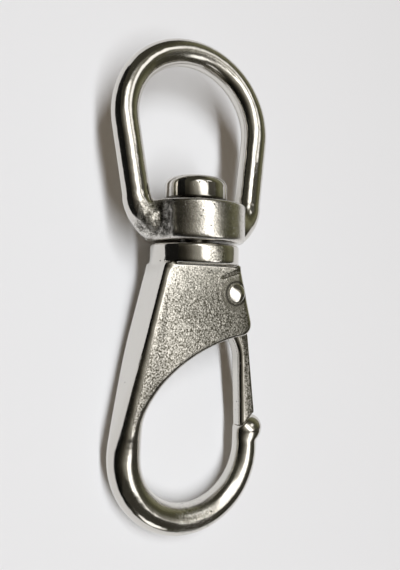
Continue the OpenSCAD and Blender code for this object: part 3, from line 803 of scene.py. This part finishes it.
blasted_steel = steel("blasted_and_buffed_316", 0.1)
buffed_steel = steel("buffed_316", 0.1)
turned_steel = steel("turned_and_buffed_316", 0.08)
wire_steel = steel("drawn_302_wire", 0.25)
print(f"each steel has {len(blasted_steel.node_tree.nodes)} nodes")

# %% Dressing the pieces
def dress(obj, material, body, node):
    obj.data.transform(LAY_DOWN)
    obj.data.materials.append(material)
    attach(obj, body)
    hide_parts(node)
    print(f"{obj.name} stands for {node}, in {material.name}")


dress(hook, blasted_steel, "hook", "hook_body")
dress(gate, blasted_steel, "gate", "gate")
dress(bow, buffed_steel, "eye", "swivel_eye")
dress(spring, wire_steel, "hook", "gate_spring")
dress(stud, turned_steel, "hook", "swivel_stud")
dress(pin, turned_steel, "hook", "gate_pin")

# %% [markdown]
# The setting is a pale table under one long soft lamp, nearly overhead. Polished metal shows
# nothing but its surroundings, so they are built for it: the pale table below, the lamp as a
# long streak with soft edges, a room that darkens to the left, and a dim olive wall with a
# paler part to the right. Three dark cards, which the camera doesn't see, stand near the
# hook. The steel reflects them as crisp dark bands: along the bow's left side, under the
# bend, and on the bow's crown.

# %% Table
TABLE, TABLE_R = "#EFEFEE", 0.34


def painted_board(name, colour):
    """Matt paint on board: one even colour, and nothing mirrored in it."""
    material, tree = new_material(name)
    shader = add(tree, "ShaderNodeBsdfPrincipled", Base_Color=srgb(colour), Roughness=0.9)
    add(tree, "ShaderNodeOutputMaterial", Surface=shader.outputs[0])
    return material


def flat_face(name, points, colour):
    mesh = bpy.data.meshes.new(name)
    mesh.from_pydata(points, [], [list(range(len(points)))])
    mesh.materials.append(painted_board(f"{name}_painted_board", colour))
    obj = bpy.data.objects.new(name, mesh)
    bpy.context.scene.collection.objects.link(obj)
    return obj


table = flat_face("table", [(*(TABLE_R * unit(a)), 0) for a in range(0, 360, 2)], TABLE)
print(f"table: {2 * TABLE_R:.2f} m across")

# %% Dark cards: a colour and two opposite corners in metres, upright or level
CARDS = {"left_card": ("#0B0C0A", (-0.044, -0.008, 0), (-0.044, 0.1, 0.03)),
         "near_card": ("#4A4840", (-0.035, -0.06, 0.014), (0.06, -0.06, 0.05)),
         "upper_card": ("#5A584F", (0.013, 0.012, 0.06), (0.05, 0.038, 0.06))}
for name, (colour, a, b) in CARDS.items():
    level = a[2] == b[2]
    corners = [a, (b[0], a[1] if level else b[1], a[2]), b, (a[0], b[1] if level else a[1], b[2])]
    card = flat_face(name, corners, colour)
    # Polished steel sees the card, but the camera doesn't, and it casts no shadow on the table.
    card.visible_camera = card.visible_diffuse = card.visible_shadow = False
    print(f"{name}: {(Vector(b) - Vector(a)).length / MM:.0f} mm from corner to corner")

# %% Lamp
LAMP_PLACE, LAMP_SIZE, LAMP_COLOUR, LAMP_RADIANCE = (-0.0375, -0.05, 0.6), (0.07, 0.76), "#F6F9FF", 23.7
lamp_data = bpy.data.lights.new("long_lamp", "AREA")
lamp_data.shape, lamp_data.size, lamp_data.size_y = "RECTANGLE", *LAMP_SIZE
lamp_data.energy = LAMP_RADIANCE * math.pi * LAMP_SIZE[0] * LAMP_SIZE[1]
lamp_data.color = srgb(LAMP_COLOUR)[:3]
lamp = bpy.data.objects.new("long_lamp", lamp_data)
lamp.location = LAMP_PLACE
bpy.context.scene.collection.objects.link(lamp)
# The room below draws the lamp's soft-edged image, so polished steel sees it only there.
lamp.visible_glossy = False
print(f"lamp: {LAMP_SIZE[0]} by {LAMP_SIZE[1]} m, {lamp_data.energy:.2f} W")

# %% Room: its colours from the left of the lamp to its right, in degrees from straight up
ROOM = ((-115, "#A8A59C"), (-100, "#12110F"), (-90, "#040506"), (-76, "#090908"), (-60, "#1B1A16"),
        (-45, "#36332C"), (-32, "#67635A"), (-22, "#98958B"), (-12, "#B2AFA5"), (18, "#B5B2A8"),
        (26, "#8C8A7F"), (35, "#5B594B"), (46, "#4B4A3A"), (56, "#575641"), (66, "#727058"),
        (76, "#81806A"), (86, "#787764"), (105, "#84836F"))
END, GLOW, FILL, FILL_LEVEL, BACKDROP = "#3F3D34", "#FFFDF9", "#FFE2BC", 0.128, "#EDECEA"
# The streak runs this far round from the swivel's axis. It is centred a little to the right
# of straight up, and fades from its inner to its outer half width.
STREAK_TURN, STREAK_A, STREAK_OUTER, STREAK_INNER, STREAK_LEVEL = 33, 3, 17.5, 5, 2.0
# Where the room fades at its far and near ends, and the streak at its near one: each as how
# much of the direction points along the streak, from -1 to 1.
FAR_END, NEAR_END, STREAK_END = (0.45, 0.68), (-0.36, -0.75), (-0.9, -0.78)
# Two small bright openings: a low one in front, and one beyond the far right end of the lamp.
# Each is a direction, the cosines where it is full and where it ends, and a level.
OPENINGS = (((0.0, -0.96, 0.28), 0.992, 0.972, 1.7), ((0.37, 0.40, 0.84), 0.9985, 0.978, 1.5))

turned_a = math.radians(STREAK_TURN)
world = bpy.data.worlds.new("room")
bpy.context.scene.world = world
world.use_nodes = True
tree = world.node_tree
tree.nodes.clear()
look = add(tree, "ShaderNodeTexCoord").outputs["Generated"]
rightwards = (math.cos(turned_a), math.sin(turned_a), 0)
onwards = (-math.sin(turned_a), math.cos(turned_a), 0)
sideways = add(tree, "ShaderNodeVectorMath", ALONG, _0=look, _1=rightwards).outputs["Value"]
forward = add(tree, "ShaderNodeVectorMath", ALONG, _0=look, _1=onwards).outputs["Value"]
axes = add(tree, "ShaderNodeSeparateXYZ", Vector=look).outputs
angle = add(tree, "ShaderNodeMath", {"operation": "ARCTAN2"}, _0=sideways, _1=axes["Z"]).outputs[0]
first, last = ROOM[0][0], ROOM[-1][0]
place = add(tree, "ShaderNodeMapRange", _0=angle, _1=math.radians(first), _2=math.radians(last)).outputs[0]
ramp = add(tree, "ShaderNodeValToRGB", _0=place)
stops = ramp.color_ramp.elements
while len(stops) < len(ROOM):
    stops.new(0.5)
for stop, (degrees, colour) in zip(stops, ROOM):
    stop.position, stop.color = (degrees - first) / (last - first), srgb(colour)
far, front, near = [add(tree, "ShaderNodeMapRange", SOFT, _0=forward, _1=start, _2=end).outputs[0]
                    for start, end in (FAR_END, NEAR_END, STREAK_END)]
ends = add(tree, "ShaderNodeMath", MOST, _0=far, _1=front).outputs[0]
walls = add(tree, "ShaderNodeMix", COLOUR, _0=ends, _6=ramp.outputs[0], _7=srgb(END)).outputs[2]
for centre, inner, outer, level in OPENINGS:
    near_it = add(tree, "ShaderNodeVectorMath", ALONG, _0=look,
                  _1=Vector(centre).normalized()).outputs["Value"]
    share = add(tree, "ShaderNodeMapRange", SOFT, _0=near_it, _1=outer, _2=inner).outputs[0]
    bright = [level * v for v in srgb(GLOW)]
    walls = add(tree, "ShaderNodeMix", COLOUR, _0=share, _6=walls, _7=bright).outputs[2]
off_lamp = add(tree, "ShaderNodeMath", {"operation": "SUBTRACT"}, _0=angle,
               _1=math.radians(STREAK_A)).outputs[0]
off_lamp = add(tree, "ShaderNodeMath", {"operation": "ABSOLUTE"}, _0=off_lamp).outputs[0]
streak = add(tree, "ShaderNodeMapRange", SOFT, _0=off_lamp,
             _1=math.radians(STREAK_OUTER), _2=math.radians(STREAK_INNER)).outputs[0]
streak = add(tree, "ShaderNodeMath", TIMES, _0=streak, _1=near).outputs[0]
dark_end = add(tree, "ShaderNodeMapRange", _0=far, _3=STREAK_LEVEL, _4=0.0).outputs[0]
streak = add(tree, "ShaderNodeMath", TIMES, _0=streak, _1=dark_end).outputs[0]
seen_walls = add(tree, "ShaderNodeBackground", Color=walls, Strength=1.0).outputs[0]
seen_lamp = add(tree, "ShaderNodeBackground", Color=srgb(GLOW), Strength=streak).outputs[0]
seen = add(tree, "ShaderNodeAddShader", _0=seen_walls, _1=seen_lamp).outputs[0]
# Only reflections show this room. What lights the table is a dim warm fill, and what the
# camera sees behind the table is pale.
fill = add(tree, "ShaderNodeBackground", Color=srgb(FILL), Strength=FILL_LEVEL).outputs[0]
pale = add(tree, "ShaderNodeBackground", Color=srgb(BACKDROP), Strength=1.0).outputs[0]
ray = add(tree, "ShaderNodeLightPath").outputs
mixed = add(tree, "ShaderNodeMixShader", _0=ray["Is Glossy Ray"], _1=fill, _2=seen).outputs[0]
mixed = add(tree, "ShaderNodeMixShader", _0=ray["Is Camera Ray"], _1=mixed, _2=pale).outputs[0]
add(tree, "ShaderNodeOutputWorld", Surface=mixed)
print(f"room: {len(ROOM)} colours and {len(OPENINGS)} openings, in {len(tree.nodes)} nodes")

# %% Camera
LENS, CAMERA_PLACE, CAMERA_TURN = 54, (-0.05034, -0.01395, 0.10021), (8.316, -28.969, -2.235)
camera_data = bpy.data.cameras.new("camera")
camera_data.sensor_fit, camera_data.sensor_width, camera_data.lens = "HORIZONTAL", 36, LENS
camera_data.clip_start = 0.01
camera = bpy.data.objects.new("camera", camera_data)
camera.location = CAMERA_PLACE
camera.rotation_euler = [math.radians(a) for a in CAMERA_TURN]
bpy.context.scene.collection.objects.link(camera)
bpy.context.scene.camera = camera
bpy.context.scene.view_settings.view_transform = "Standard"
print(f"camera: {CAMERA_PLACE[2] / MM:.0f} mm above the table, with a {LENS} mm lens")
